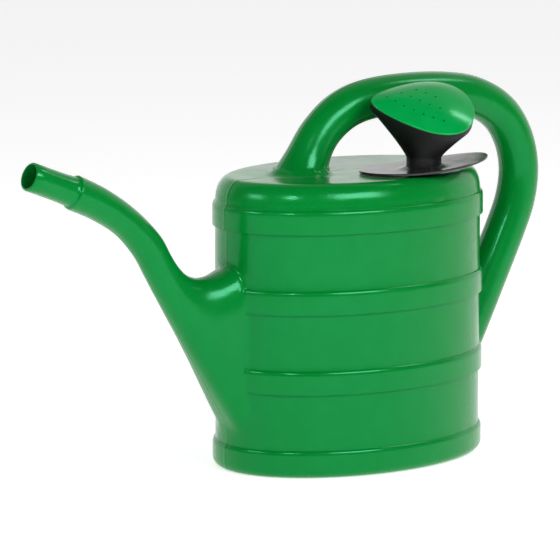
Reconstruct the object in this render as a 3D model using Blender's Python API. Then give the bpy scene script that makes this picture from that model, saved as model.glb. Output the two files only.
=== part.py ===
"""Ten-litre oval garden watering can, with its rose parked on the lid plate.

The can is one hollow moulding: an oval tank with four raised bands, a looped tube handle and a
swan-neck spout. It is modelled as tank, handle, spout and spout end, which meet face to face with
a hairline gap. A flexible lid plate covers the filler opening. The rose stands in the plate's
slitted hole: a black funnel with a domed, perforated green face snapped into its rim.

Units are metres. +X points to the handle side, +Z up, and the spout points to -X.
The origin is the middle of the tank's underside.
"""
import math

import bmesh
import bpy
from mathutils import Matrix, Vector

MM = 0.001
GAP = 0.3 * MM

# Tank: an oval of two half axes, with bands that stand proud of it.
TANK_HALF_LENGTH = 138.4 * MM
TANK_HALF_WIDTH = 93.9 * MM
TANK_HEIGHT = 275.0 * MM
WALL = 2.2 * MM
BAND_PROUD = 2.7 * MM
BAND_CHAMFER = 1.2 * MM
BANDS = ((26.2, 0.0), (101.7, 78.6), (176.7, 153.6), (251.7, 228.7))  # top and bottom edge, mm
SHOULDER_INSET = 14.0 * MM
SHOULDER_START = 255.0 * MM
BASE_ROUND = 7.0 * MM
OVAL_STEPS = 56

# Filler opening, an oval hole in the flat top, off the middle to clear the handle.
FILLER_CENTRE = Vector((50 * MM, -44 * MM, TANK_HEIGHT))
FILLER_HALF = (40 * MM, 22 * MM)

# Handle: a hollow tube whose middle line runs through these points in the plane Y = 0, mm.
HANDLE_RADIUS = 19.5 * MM
HANDLE_LINE = (
    (-62, 246, 1.75), (-55.5, 268, 1.46), (-47.5, 289, 1.1), (-34, 311, 1.0), (-12, 329, 1.0),
    (16, 339, 1.0), (60, 342.5, 1.0), (110, 340.5, 1.0), (148, 333, 1.0), (176, 317, 1.0),
    (194, 292, 1.0), (201.5, 262, 1.0), (198, 232, 1.0), (186, 202, 1.0), (170, 170, 1.02),
    (152, 135, 1.05), (134, 100, 1.05),
)

# Spout: sections in the plane Y = 0, from the collar down into the tank's wall. Each station gives
# the section's upper point (x, z), its lower point (x, z) and its half width, in mm, and how square
# it is: 2 is an oval, and a higher number has flatter sides.
SPOUT_STATIONS = (
    (-297.04, 293.21, -308.96, 263.29, 15.8, 2.0), (-267.0, 277.5, -283.5, 251.5, 15.5, 2.0),
    (-237.5, 256.0, -258.0, 235.0, 15.2, 2.0), (-214.5, 232.5, -239.0, 214.0, 15.2, 2.0),
    (-202.5, 212.5, -227.5, 194.0, 15.6, 2.0), (-194.0, 200.5, -217.5, 176.5, 16.4, 2.0),
    (-184.0, 191.5, -206.0, 157.0, 18.0, 2.05), (-171.5, 187.0, -191.0, 131.5, 20.5, 2.15),
    (-157.0, 188.0, -174.5, 103.5, 23.5, 2.5), (-142.0, 192.5, -157.0, 73.5, 26.0, 3.2),
    (-124.0, 197.0, -140.0, 45.0, 28.0, 4.0), (-106.0, 201.0, -123.0, 17.0, 29.5, 4.5),
)
SPOUT_STEPS = 28
SPOUT_SUBSTEPS = 3

# Spout end: the narrower, straight tube that the rose pushes onto.
SPOUT_END_FROM = Vector((-303 * MM, 0, 278.25 * MM))
SPOUT_END_TO = Vector((-349.5 * MM, 0, 296.75 * MM))
SPOUT_END_RADIUS = 13.2 * MM
SPOUT_END_WALL = 1.8 * MM

# Rose: a round neck that opens into a pear-shaped rim, tilted away from the handle.
NECK_CENTRE = Vector((41.7 * MM, -62.8 * MM, TANK_HEIGHT + 0.6 * MM))
NECK_RADIUS = 16.4 * MM
NECK_HEIGHT = 15.0 * MM
ROSE_WALL = 1.8 * MM
RIM_BAND = 6.5 * MM
FLARE_STEPS = 8
FLARE_POWER = 1.15
FACE_CENTRE = Vector((39.9 * MM, -62.8 * MM, TANK_HEIGHT + 62.6 * MM))
FACE_LEAN = math.radians(33.0)
FACE_LEAN_HEADING = math.radians(-107.0)
FACE_LONG_HEADING = math.radians(-31.7)
FACE_HALF_LENGTH = 49.0 * MM
FACE_HALF_WIDTH = 35.4 * MM
FACE_PEAR = 0.42
FACE_DOME = 9.0 * MM
DOME_POWER = 2.2
DOME_SHARES = (0.94, 0.8, 0.6, 0.4, 0.2)
FACE_EDGE = 1.6 * MM
FACE_SKIRT = 5.0 * MM
FACE_THICKNESS = 1.8 * MM
FACE_STEPS = 40
HOLE_RADIUS = 0.9 * MM
HOLE_PITCH = 10.0
HOLE_ROW_CENTRE = (36.8, 76.4)  # on the face, along and across, mm
HOLE_ROW_MIDDLE = math.radians(-117.5)
HOLE_ROWS = ((103.4, 7), (89.8, 5), (76.2, 3))  # arc radius in mm, holes
DRILL_DEPTH = 24.0 * MM
DRILL_SIDES = 8

# Lid plate: a thin oval sheet with a round hole for the neck, whose far end curls up.
PLATE_CENTRE = Vector((47.5 * MM, -54.4 * MM, TANK_HEIGHT + 1.0 * MM))
PLATE_HALF = (62.5 * MM, 38.5 * MM)
PLATE_TURN = math.radians(-17.0)
PLATE_THICKNESS = 2.4 * MM
PLATE_CURL = 12.0 * MM
PLATE_CURL_POWER = 2.1
PLATE_HOLE_RADIUS = NECK_RADIUS + GAP
PLATE_STEPS = 48
SLIT_WIDTH = 1.2 * MM
SLIT_LENGTH = 7.0 * MM
SLIT_COUNT = 8
SLIT_CUT_HEIGHT = 30.0 * MM

SHARP_ANGLE = math.radians(35.0)
GREEN = (0.0, 0.27, 0.055)
BLACK = (0.012, 0.012, 0.013)


def clear_scene():
    for item in list(bpy.data.objects):
        bpy.data.objects.remove(item, do_unlink=True)


def new_collection(name):
    collection = bpy.data.collections.new(name)
    bpy.context.scene.collection.children.link(collection)
    return collection


def plastic(name, colour, roughness):
    material = bpy.data.materials.new(name)
    material.use_nodes = True
    shader = material.node_tree.nodes["Principled BSDF"]
    shader.inputs["Base Color"].default_value = (*colour, 1.0)
    shader.inputs["Roughness"].default_value = roughness
    shader.inputs["Metallic"].default_value = 0.0
    material.diffuse_color = (*colour, 1.0)
    return material


def mesh_object(name, mesh_builder, material, collection):
    """Make an object from a bmesh, with its faces pointing out."""
    mesh = bpy.data.meshes.new(name)
    mesh_builder.to_mesh(mesh)
    mesh_builder.free()
    item = bpy.data.objects.new(name, mesh)
    if material is not None:
        mesh.materials.append(material)
    mesh.shade_smooth()
    mesh.set_sharp_from_angle(angle=SHARP_ANGLE)
    collection.objects.link(item)
    return item


def hide_cutter(item):
    item.hide_render = True
    item.display_type = "WIRE"
    return item


def add_rings(builder, rings, closed_start=True, closed_end=True):
    """Skin a list of equal rings of points; returns the rings' vertices."""
    loops = [[builder.verts.new(point) for point in ring] for ring in rings]
    count = len(loops[0])
    for lower, upper in zip(loops, loops[1:]):
        for i in range(count):
            j = (i + 1) % count
            builder.faces.new((lower[i], lower[j], upper[j], upper[i]))
    if closed_start:
        builder.faces.new(list(reversed(loops[0])))
    if closed_end:
        builder.faces.new(loops[-1])
    return loops


def bridge(builder, inner, outer):
    """Join two rings edge to edge with a flat strip."""
    count = len(inner)
    for i in range(count):
        j = (i + 1) % count
        builder.faces.new((inner[i], inner[j], outer[j], outer[i]))


def face_outwards(builder):
    bmesh.ops.recalc_face_normals(builder, faces=builder.faces[:])


def cut(item, cutter, name):
    modifier = item.modifiers.new(name, "BOOLEAN")
    modifier.operation = "DIFFERENCE"
    modifier.object = cutter
    modifier.solver = "EXACT"


# ---------------------------------------------------------------- tank

def oval_ring(offset, height):
    """Points around the tank's oval, moved out by an offset along its normal."""
    ring = []
    for i in range(OVAL_STEPS):
        angle = 2 * math.pi * i / OVAL_STEPS
        point = Vector((TANK_HALF_LENGTH * math.cos(angle), TANK_HALF_WIDTH * math.sin(angle), 0))
        normal = Vector((math.cos(angle) / TANK_HALF_LENGTH, math.sin(angle) / TANK_HALF_WIDTH, 0))
        point += normal.normalized() * offset
        point.z = height
        ring.append(point)
    return ring


def tank_profile(grow=0.0):
    """Offsets and heights from the underside to the flat top."""
    low_top = BANDS[0][0] * MM
    profile = []
    for k in range(4):
        angle = math.radians(30 * k)
        inset = BASE_ROUND * (1 - math.sin(angle))
        profile.append((BAND_PROUD - inset, BASE_ROUND * (1 - math.cos(angle))))
    profile.append((BAND_PROUD, low_top - BAND_CHAMFER))
    profile.append((0.0, low_top))
    for top, bottom in BANDS[1:]:
        profile.append((0.0, bottom * MM))
        profile.append((BAND_PROUD, bottom * MM + BAND_CHAMFER))
        profile.append((BAND_PROUD, top * MM - BAND_CHAMFER))
        profile.append((0.0, top * MM))
    shoulder = TANK_HEIGHT - SHOULDER_START
    for k in range(5):
        angle = math.radians(22.5 * k)
        profile.append((-SHOULDER_INSET * (1 - math.cos(angle)),
                        SHOULDER_START + shoulder * math.sin(angle)))
    return [(offset + grow, height) for offset, height in profile]


def add_tank_outside(builder, grow=0.0):
    profile = tank_profile(grow)
    rings = [oval_ring(offset, height) for offset, height in profile]
    if grow:
        rings.insert(0, oval_ring(profile[0][0], -grow))
        rings.append(oval_ring(profile[-1][0], TANK_HEIGHT + grow))
    add_rings(builder, rings)


def make_tank_blank(name, grow, collection):
    builder = bmesh.new()
    add_tank_outside(builder, grow)
    face_outwards(builder)
    return hide_cutter(mesh_object(name, builder, None, collection))


def make_tank(material, collection, cutters, spout_bore):
    builder = bmesh.new()
    add_tank_outside(builder)
    inside = (
        (-WALL - BASE_ROUND * 0.6, WALL), (-WALL, WALL + BASE_ROUND), (-WALL, SHOULDER_START),
        (-WALL - SHOULDER_INSET * 0.3, TANK_HEIGHT - WALL - SHOULDER_INSET * 0.3),
        (-WALL - SHOULDER_INSET, TANK_HEIGHT - WALL),
    )
    outer_faces = list(builder.faces)
    add_rings(builder, [oval_ring(offset, height) for offset, height in inside])
    inner_faces = [face for face in builder.faces if face not in set(outer_faces)]
    bmesh.ops.recalc_face_normals(builder, faces=outer_faces)
    bmesh.ops.recalc_face_normals(builder, faces=inner_faces)
    bmesh.ops.reverse_faces(builder, faces=inner_faces)
    tank = mesh_object("tank", builder, material, collection)

    builder = bmesh.new()
    rings = []
    for height in (-10 * MM, 10 * MM):
        ring = []
        for i in range(OVAL_STEPS // 2):
            angle = 4 * math.pi * i / OVAL_STEPS
            step = Vector((FILLER_HALF[0] * math.cos(angle), FILLER_HALF[1] * math.sin(angle), height))
            ring.append(FILLER_CENTRE + step)
        rings.append(ring)
    add_rings(builder, rings)
    face_outwards(builder)
    filler = hide_cutter(mesh_object("filler_cutter", builder, None, cutters))
    cut(tank, filler, "filler_opening")
    cut(tank, spout_bore, "spout_port")
    return tank


# ---------------------------------------------------------------- handle

def handle_tube(name, shrink, collection):
    """A round tube along the handle's line, as a closed mesh."""
    curve = bpy.data.curves.new(name + "_curve", "CURVE")
    curve.dimensions = "3D"
    curve.bevel_depth = HANDLE_RADIUS - shrink
    curve.bevel_resolution = 4
    curve.use_fill_caps = True
    curve.resolution_u = 2
    spline = curve.splines.new("BEZIER")
    spline.bezier_points.add(len(HANDLE_LINE) - 1)
    for point, (x, z, size) in zip(spline.bezier_points, HANDLE_LINE):
        point.co = (x * MM, 0, z * MM)
        point.radius = size
        point.handle_left_type = "AUTO"
        point.handle_right_type = "AUTO"
    rail = bpy.data.objects.new(name + "_rail", curve)
    collection.objects.link(rail)
    bpy.context.view_layer.update()
    evaluated = rail.evaluated_get(bpy.context.evaluated_depsgraph_get())
    mesh = bpy.data.meshes.new_from_object(evaluated)
    builder = bmesh.new()
    builder.from_mesh(mesh)
    bmesh.ops.remove_doubles(builder, verts=builder.verts[:], dist=0.01 * MM)
    face_outwards(builder)
    tube = mesh_object(name, builder, None, collection)
    tube.matrix_world = rail.matrix_world
    bpy.data.objects.remove(rail, do_unlink=True)
    return tube


def make_handle(material, collection, cutters, tank_blank):
    handle = handle_tube("handle", 0.0, collection)
    handle.data.materials.clear()
    handle.data.materials.append(material)
    bore = hide_cutter(handle_tube("handle_bore", WALL, cutters))
    cut(handle, tank_blank, "meets_tank")
    cut(handle, bore, "hollow")
    return handle


# ---------------------------------------------------------------- spout

def smooth_stations(stations):
    """Catmull-Rom values between stations, so the spout bends evenly."""
    rows = []
    last = len(stations) - 1
    for k in range(last):
        before = stations[max(k - 1, 0)]
        start = stations[k]
        end = stations[k + 1]
        after = stations[min(k + 2, last)]
        for step in range(SPOUT_SUBSTEPS):
            t = step / SPOUT_SUBSTEPS
            row = []
            for a, b, c, d in zip(before, start, end, after):
                row.append(0.5 * (2 * b + (c - a) * t + (2 * a - 5 * b + 4 * c - d) * t * t
                                  + (3 * b - a - 3 * c + d) * t ** 3))
            rows.append(row)
    rows.append(list(stations[-1]))
    return rows


def spout_section(upper_x, upper_z, lower_x, lower_z, half_width, square, shrink):
    """An oval or rounded box through an upper and a lower point, thinner by the given wall."""
    upper = Vector((upper_x * MM, 0, upper_z * MM))
    lower = Vector((lower_x * MM, 0, lower_z * MM))
    centre = (upper + lower) / 2
    up = (upper - lower).normalized()
    half_depth = (upper - lower).length / 2
    ring = []
    for i in range(SPOUT_STEPS):
        turn = 2 * math.pi * i / SPOUT_STEPS
        reach = (abs(math.cos(turn)) ** square + abs(math.sin(turn)) ** square) ** (-1 / square)
        depth = (half_depth - shrink) * math.cos(turn) * reach
        width = (half_width * MM - shrink) * math.sin(turn) * reach
        ring.append(centre + up * depth + Vector((0, width, 0)))
    return ring


def spout_skin(name, rings, material, collection):
    builder = bmesh.new()
    add_rings(builder, rings)
    face_outwards(builder)
    return mesh_object(name, builder, material, collection)


def make_spout(material, collection, cutters, tank_blank):
    rows = smooth_stations(SPOUT_STATIONS)
    outside = [spout_section(*row, 0.0) for row in rows]
    spout = spout_skin("spout", outside, material, collection)
    # The water way narrows to the end tube's bore inside the collar's step.
    forward = (SPOUT_END_TO - SPOUT_END_FROM).normalized()
    narrow = rows[0][4] * MM - (SPOUT_END_RADIUS - SPOUT_END_WALL)
    inside = [spout_section(*row, WALL) for row in rows[1:]]
    mouth = spout_section(*rows[0], narrow)
    inside.insert(0, [point - forward * WALL for point in mouth])
    inside.insert(0, [point + forward * WALL for point in mouth])
    bore = hide_cutter(spout_skin("spout_bore", inside, None, cutters))
    cut(spout, tank_blank, "meets_tank")
    cut(spout, bore, "water_way")
    return spout, bore


def tube_along(name, start, end, outer, inner, steps, material, collection):
    """A straight tube with flat ends."""
    axis = (end - start).normalized()
    side = Vector((0, 1, 0))
    up = axis.cross(side).normalized()
    builder = bmesh.new()

    def ring(centre, radius):
        points = []
        for i in range(steps):
            turn = 2 * math.pi * i / steps
            points.append(centre + up * (radius * math.cos(turn)) + side * (radius * math.sin(turn)))
        return points

    outside = add_rings(builder, [ring(start, outer), ring(end, outer)], False, False)
    inside = add_rings(builder, [ring(start, inner), ring(end, inner)], False, False)
    bridge(builder, outside[0], inside[0])
    bridge(builder, outside[1], inside[1])
    face_outwards(builder)
    return mesh_object(name, builder, material, collection)


# ---------------------------------------------------------------- rose

def face_frame():
    """The rose face's own axes: long, short and out."""
    out = Vector((math.sin(FACE_LEAN) * math.cos(FACE_LEAN_HEADING),
                  math.sin(FACE_LEAN) * math.sin(FACE_LEAN_HEADING), math.cos(FACE_LEAN)))
    along = Vector((math.cos(FACE_LONG_HEADING), math.sin(FACE_LONG_HEADING), 0))
    along = (along - out * along.dot(out)).normalized()
    across = out.cross(along)
    return along, across, out


ALONG, ACROSS, OUT = face_frame()


def rim_point(turn, inset=0.0, lift=0.0, share=1.0):
    """A point on the pear-shaped rim, moved in by an inset and lifted along the face's axis."""
    x = FACE_HALF_LENGTH * math.cos(turn)
    y = FACE_HALF_WIDTH * math.sin(turn) * (1 + FACE_PEAR * math.cos(turn))
    reach = math.hypot(x, y)
    scale = share * (reach - inset) / reach
    return FACE_CENTRE + ALONG * (x * scale) + ACROSS * (y * scale) + OUT * lift


def rim_ring(inset=0.0, lift=0.0, share=1.0):
    return [rim_point(2 * math.pi * i / FACE_STEPS, inset, lift, share) for i in range(FACE_STEPS)]


def neck_ring(height, inset=0.0):
    """A round section of the neck, whose points line up with the rim's."""
    ring = []
    for i in range(FACE_STEPS):
        away = rim_point(2 * math.pi * i / FACE_STEPS) - FACE_CENTRE
        turn = math.atan2(ALONG.xy.normalized().cross(away.xy), ALONG.xy.normalized().dot(away.xy))
        turn += math.atan2(ALONG.y, ALONG.x)
        radius = NECK_RADIUS - inset
        step = Vector((radius * math.cos(turn), radius * math.sin(turn), height))
        ring.append(NECK_CENTRE + step)
    return ring


def funnel_rings(inset):
    """Sections from the neck's foot to the rim: straight, flaring like a trumpet, straight."""
    neck_top = neck_ring(NECK_HEIGHT, inset)
    band_foot = rim_ring(inset, -RIM_BAND)
    rings = [neck_ring(0.0, inset), neck_top]
    for k in range(1, FLARE_STEPS + 1):
        t = k / FLARE_STEPS
        spread = t ** FLARE_POWER
        ring = []
        for low, high in zip(neck_top, band_foot):
            height = low.z + (high.z - low.z) * t
            ring.append(Vector((low.x + (high.x - low.x) * spread, low.y + (high.y - low.y) * spread,
                                height)))
        rings.append(ring)
    rings.append(rim_ring(inset))
    return rings


def make_rose_funnel(material, collection):
    builder = bmesh.new()
    outside = add_rings(builder, funnel_rings(0.0), False, False)
    inside = add_rings(builder, funnel_rings(ROSE_WALL), False, False)
    bridge(builder, outside[0], inside[0])
    bridge(builder, outside[-1], inside[-1])
    face_outwards(builder)
    return mesh_object("rose_funnel", builder, material, collection)


def dome_rings(inset, lift):
    rings = []
    for share in DOME_SHARES:
        rings.append(rim_ring(inset, lift + FACE_DOME * (1 - share ** DOME_POWER), share))
    return rings


def make_rose_face(material, collection, cutters):
    """The green cap: an edge band on the rim, a dome above it and a skirt that snaps inside."""
    skirt_inset = ROSE_WALL + GAP
    builder = bmesh.new()
    rings = [rim_ring(0.0, GAP), rim_ring(0.0, GAP + FACE_EDGE)]
    rings += dome_rings(0.0, GAP + FACE_EDGE)
    outside = add_rings(builder, rings, False, True)
    rings = [rim_ring(skirt_inset + FACE_THICKNESS, -FACE_SKIRT)]
    rings += dome_rings(skirt_inset + FACE_THICKNESS, GAP + FACE_EDGE - FACE_THICKNESS)
    inside = add_rings(builder, rings, False, True)
    skirt = add_rings(builder, [rim_ring(skirt_inset, GAP), rim_ring(skirt_inset, -FACE_SKIRT)],
                      False, False)
    bridge(builder, outside[0], skirt[0])
    bridge(builder, skirt[1], inside[0])
    bmesh.ops.remove_doubles(builder, verts=builder.verts[:], dist=0.001 * MM)
    face_outwards(builder)
    face = mesh_object("rose_face", builder, material, collection)

    builder = bmesh.new()
    turn_to_face = Matrix((ALONG, ACROSS, OUT)).transposed().to_4x4()
    for radius, count in HOLE_ROWS:
        for k in range(count):
            turn = HOLE_ROW_MIDDLE + (k - (count - 1) / 2) * HOLE_PITCH / radius
            along = (HOLE_ROW_CENTRE[0] + radius * math.cos(turn)) * MM
            across = (HOLE_ROW_CENTRE[1] + radius * math.sin(turn)) * MM
            place = FACE_CENTRE + ALONG * along + ACROSS * across + OUT * FACE_DOME / 2
            bmesh.ops.create_cone(builder, cap_ends=True, segments=DRILL_SIDES, radius1=HOLE_RADIUS,
                                  radius2=HOLE_RADIUS, depth=DRILL_DEPTH,
                                  matrix=Matrix.Translation(place) @ turn_to_face)
    drill = hide_cutter(mesh_object("face_drill", builder, None, cutters))
    cut(face, drill, "holes")
    return face


# ---------------------------------------------------------------- lid plate

def plate_height(local_x):
    """How far the plate stands above the tank's top: flat, then curling up to one end."""
    run = (local_x + PLATE_HALF[0]) / (2 * PLATE_HALF[0])
    return PLATE_CURL * max(0.0, run) ** PLATE_CURL_POWER


def make_lid_plate(material, collection, cutters):
    turn_matrix = Matrix.Rotation(PLATE_TURN, 3, "Z")
    hole_centre = turn_matrix.transposed() @ Vector((NECK_CENTRE.x - PLATE_CENTRE.x,
                                                     NECK_CENTRE.y - PLATE_CENTRE.y, 0))
    builder = bmesh.new()

    def ring(share, lift):
        points = []
        for i in range(PLATE_STEPS):
            angle = 2 * math.pi * i / PLATE_STEPS
            edge = Vector((PLATE_HALF[0] * math.cos(angle), PLATE_HALF[1] * math.sin(angle), 0))
            away = (edge - hole_centre).normalized()
            near = hole_centre + away * PLATE_HOLE_RADIUS
            local = near.lerp(edge, share)
            local.z = plate_height(local.x) + lift
            points.append(PLATE_CENTRE + turn_matrix @ local)
        return points

    shares = (0.0, 0.25, 0.5, 0.75, 1.0)
    lower = add_rings(builder, [ring(share, 0.0) for share in shares], False, False)
    upper = add_rings(builder, [ring(share, PLATE_THICKNESS) for share in shares], False, False)
    bridge(builder, lower[0], upper[0])
    bridge(builder, lower[-1], upper[-1])
    face_outwards(builder)
    plate = mesh_object("lid_plate", builder, material, collection)

    builder = bmesh.new()
    reach = PLATE_HOLE_RADIUS + SLIT_LENGTH
    middle = (PLATE_HOLE_RADIUS - 2 * MM + reach) / 2
    length = reach - PLATE_HOLE_RADIUS + 2 * MM
    for k in range(SLIT_COUNT):
        turn = Matrix.Rotation(2 * math.pi * (k + 0.5) / SLIT_COUNT, 4, "Z")
        place = Matrix.Translation(NECK_CENTRE) @ turn @ Matrix.Translation((middle, 0, 0))
        size = Matrix.Diagonal((length, SLIT_WIDTH, SLIT_CUT_HEIGHT, 1))
        bmesh.ops.create_cube(builder, size=1.0, matrix=place @ size)
    slitter = hide_cutter(mesh_object("slit_cutter", builder, None, cutters))
    cut(plate, slitter, "slits")
    return plate


def main():
    clear_scene()
    parts = new_collection("watering_can")
    cutters = new_collection("cutters")
    green_tank = plastic("tank_green", GREEN, 0.32)
    green_handle = plastic("handle_green", GREEN, 0.32)
    green_spout = plastic("spout_green", GREEN, 0.32)
    green_end = plastic("spout_end_green", GREEN, 0.3)
    green_face = plastic("rose_face_green", GREEN, 0.3)
    black_funnel = plastic("rose_funnel_black", BLACK, 0.4)
    black_plate = plastic("lid_plate_black", BLACK, 0.45)

    tank_blank = make_tank_blank("tank_blank", GAP, cutters)
    spout, spout_bore = make_spout(green_spout, parts, cutters, tank_blank)
    make_tank(green_tank, parts, cutters, spout_bore)
    make_handle(green_handle, parts, cutters, tank_blank)
    axis = (SPOUT_END_TO - SPOUT_END_FROM).normalized()
    tube_along("spout_end", SPOUT_END_FROM + axis * GAP, SPOUT_END_TO, SPOUT_END_RADIUS,
               SPOUT_END_RADIUS - SPOUT_END_WALL, 24, green_end, parts)
    make_rose_funnel(black_funnel, parts)
    make_rose_face(green_face, parts, cutters)
    make_lid_plate(black_plate, parts, cutters)


main()
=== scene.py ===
# %% [markdown]
# # A ten-litre garden watering can
# The can is one blow-moulded shell of green polyethylene: an oval tank with four raised bands, a
# looped tube handle and a swan-neck spout. A black lid plate lies over the filler opening, and the
# rose, a black funnel with a perforated green face, stands in the plate's slitted hole.
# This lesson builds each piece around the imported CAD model, which sets every size and joint.

# %% Load the frame
import math

import bmesh
import bpy
import numpy as np
from mathutils import Matrix, Vector, noise


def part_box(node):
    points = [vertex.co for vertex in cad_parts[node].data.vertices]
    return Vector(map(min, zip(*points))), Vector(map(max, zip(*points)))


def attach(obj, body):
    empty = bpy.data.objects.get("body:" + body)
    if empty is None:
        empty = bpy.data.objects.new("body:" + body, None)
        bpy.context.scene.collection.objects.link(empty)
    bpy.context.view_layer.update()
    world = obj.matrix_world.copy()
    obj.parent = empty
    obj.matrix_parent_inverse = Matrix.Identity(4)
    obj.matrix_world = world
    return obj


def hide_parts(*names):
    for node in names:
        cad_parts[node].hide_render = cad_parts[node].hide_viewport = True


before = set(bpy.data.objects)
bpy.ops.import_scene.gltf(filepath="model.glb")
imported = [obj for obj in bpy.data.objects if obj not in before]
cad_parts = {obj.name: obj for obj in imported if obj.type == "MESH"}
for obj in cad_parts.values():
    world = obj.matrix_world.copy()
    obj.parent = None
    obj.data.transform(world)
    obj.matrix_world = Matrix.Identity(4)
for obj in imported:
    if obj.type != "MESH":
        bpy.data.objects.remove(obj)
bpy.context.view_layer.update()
MM = 0.001

# %% [markdown]
# ## Camera
# A studio camera stands well back with a long lens, so that the can's upright sides stay upright.
# It is set by its place, its compass heading, its tilt below the horizon and its lens, because
# these are the things that are changed by hand on a tripod.

# %% Camera
CAMERA_PLACE = Vector((-2.0973, -2.9929, 0.8066))
CAMERA_HEADING = math.radians(-34.0)
CAMERA_TILT = math.radians(9.904)
CAMERA_LENS = 251.05  # focal length and film width in mm
FILM_WIDTH = 36.0
FARTHEST_SEEN = 60.0

camera_data = bpy.data.cameras.new("camera")
camera_data.lens = CAMERA_LENS
camera_data.sensor_width = FILM_WIDTH
camera_data.clip_end = FARTHEST_SEEN
camera = bpy.data.objects.new("camera", camera_data)
bpy.context.scene.collection.objects.link(camera)
camera.location = CAMERA_PLACE
camera.rotation_euler = (math.pi / 2 - CAMERA_TILT, 0.0, CAMERA_HEADING)
bpy.context.scene.camera = camera
print("camera stands", round(CAMERA_PLACE.length, 2), "m from the can's foot")

# %% [markdown]
# ## Mesh helpers
# Most pieces of the can are skins over a row of rings: ovals up the tank, circles along the handle,
# and a circle that turns into a pear in the rose. One helper joins rings with quads, another closes
# the gap between two loops, and another turns a finished bmesh into an object that is smooth except
# across real edges.

# %% Ring and object helpers


def skin(builder, rings, close_start=False, close_end=False):
    """Join equal rings of points with quads and return their vertices."""
    loops = [[builder.verts.new(point) for point in ring] for ring in rings]
    count = len(loops[0])
    for lower, upper in zip(loops, loops[1:]):
        for i in range(count):
            j = (i + 1) % count
            builder.faces.new((lower[i], lower[j], upper[j], upper[i]))
    if close_start:
        builder.faces.new(list(reversed(loops[0])))
    if close_end:
        builder.faces.new(loops[-1])
    return loops


def bridge(builder, end, start):
    """Join two loops of vertices with quads, as at a lip."""
    for k in range(len(end)):
        j = (k + 1) % len(end)
        builder.faces.new((end[k], end[j], start[j], start[k]))


def shade(mesh, sharp_degrees):
    """Smooth shading, except across edges that bend more than the angle."""
    mesh.shade_smooth()
    mesh.set_sharp_from_angle(angle=math.radians(sharp_degrees))


def finish_mesh(name, builder, sharp_degrees=40):
    """Turn a bmesh into an object, with its faces pointing out."""
    bmesh.ops.recalc_face_normals(builder, faces=builder.faces[:])
    mesh = bpy.data.meshes.new(name)
    builder.to_mesh(mesh)
    builder.free()
    shade(mesh, sharp_degrees)
    item = bpy.data.objects.new(name, mesh)
    bpy.context.scene.collection.objects.link(item)
    return item


def solid_from_rings(name, rings):
    """A closed object: a skin over the rings, with both ends capped."""
    builder = bmesh.new()
    skin(builder, rings, True, True)
    return finish_mesh(name, builder)


def combine(item, tool, operation):
    """Apply an exact Boolean and remove the tool."""
    modifier = item.modifiers.new("combine", "BOOLEAN")
    modifier.operation = operation
    modifier.object = tool
    modifier.solver = "EXACT"
    evaluated = item.evaluated_get(bpy.context.evaluated_depsgraph_get())
    mesh = bpy.data.meshes.new_from_object(evaluated)
    item.modifiers.clear()
    item.data = mesh
    bpy.data.objects.remove(tool, do_unlink=True)
    return item


def curve_rows(rows, steps):
    """Catmull-Rom rows through a few given rows, so that every value changes evenly."""
    rows = np.array(rows, float)
    out = []
    last = len(rows) - 1
    for k in range(last):
        before, start = rows[max(k - 1, 0)], rows[k]
        end, after = rows[k + 1], rows[min(k + 2, last)]
        for t in np.arange(steps) / steps:
            out.append(0.5 * (2 * start + (end - before) * t
                              + (2 * before - 5 * start + 4 * end - after) * t ** 2
                              + (3 * start - before - 3 * end + after) * t ** 3))
    out.append(rows[-1])
    return np.array(out)


print("helpers ready: skin, bridge, shade, finish_mesh, solid_from_rings, combine, curve_rows")

# %% [markdown]
# ## The tank's outline
# A blow-moulded tank is a bag of soft plastic pressed against a steel mould, so no edge on it is
# truly sharp. Its side is drawn once, as a profile of (offset, height) pairs: a rounded foot, four
# bands that stand proud with softened edges, and a shoulder that rolls into the flat top. The
# profile is then carried round an oval. Scaling it would make the bands thicker at the oval's ends,
# so each offset is laid off square to the oval instead.

# %% Tank profile
tank_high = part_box("tank")[1]
BAND_PROUD = 2.7 * MM
HALF_LENGTH = tank_high.x - BAND_PROUD
HALF_WIDTH = tank_high.y - BAND_PROUD
TANK_TOP = tank_high.z
WALL = 2.2 * MM
BANDS = ((0.0, 26.2), (78.6, 101.7), (153.6, 176.7), (228.7, 251.7))  # lower and upper edge, mm
EDGE_RISE = 0.9 * MM
EDGE_SHARES = (0.0, 0.12, 0.5, 0.88, 1.0)
CROWN_ROUND = 5.0 * MM
CROWN_ANGLES = (0, 12, 24, 36, 50, 66, 82, 90)
LOW_BAND_HEIGHTS = (13, 18)
WALL_SHARES = (0.08, 0.3, 0.55, 0.8, 0.95)
BAND_SHARES = (0.2, 0.45, 0.7)
SHOULDER_START = 253.0 * MM
SHOULDER_INSET = 14.0 * MM
FOOT_ROUND = 8.0 * MM
FOOT_RING = 20.0 * MM
FOOT_HOLLOW = 3.0 * MM


def band_foot(height):
    """The lower edge of a band: a short, steep step out of the wall."""
    return [(BAND_PROUD * share * share * (3 - 2 * share), height + EDGE_RISE * share)
            for share in EDGE_SHARES]


def band_crown(height):
    """The upper edge of a band: a rounded lip that rolls back to the wall."""
    turns = [math.radians(angle) for angle in CROWN_ANGLES]
    return [(BAND_PROUD * math.cos(turn), height - CROWN_ROUND * (1 - math.sin(turn)))
            for turn in turns]


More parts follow.
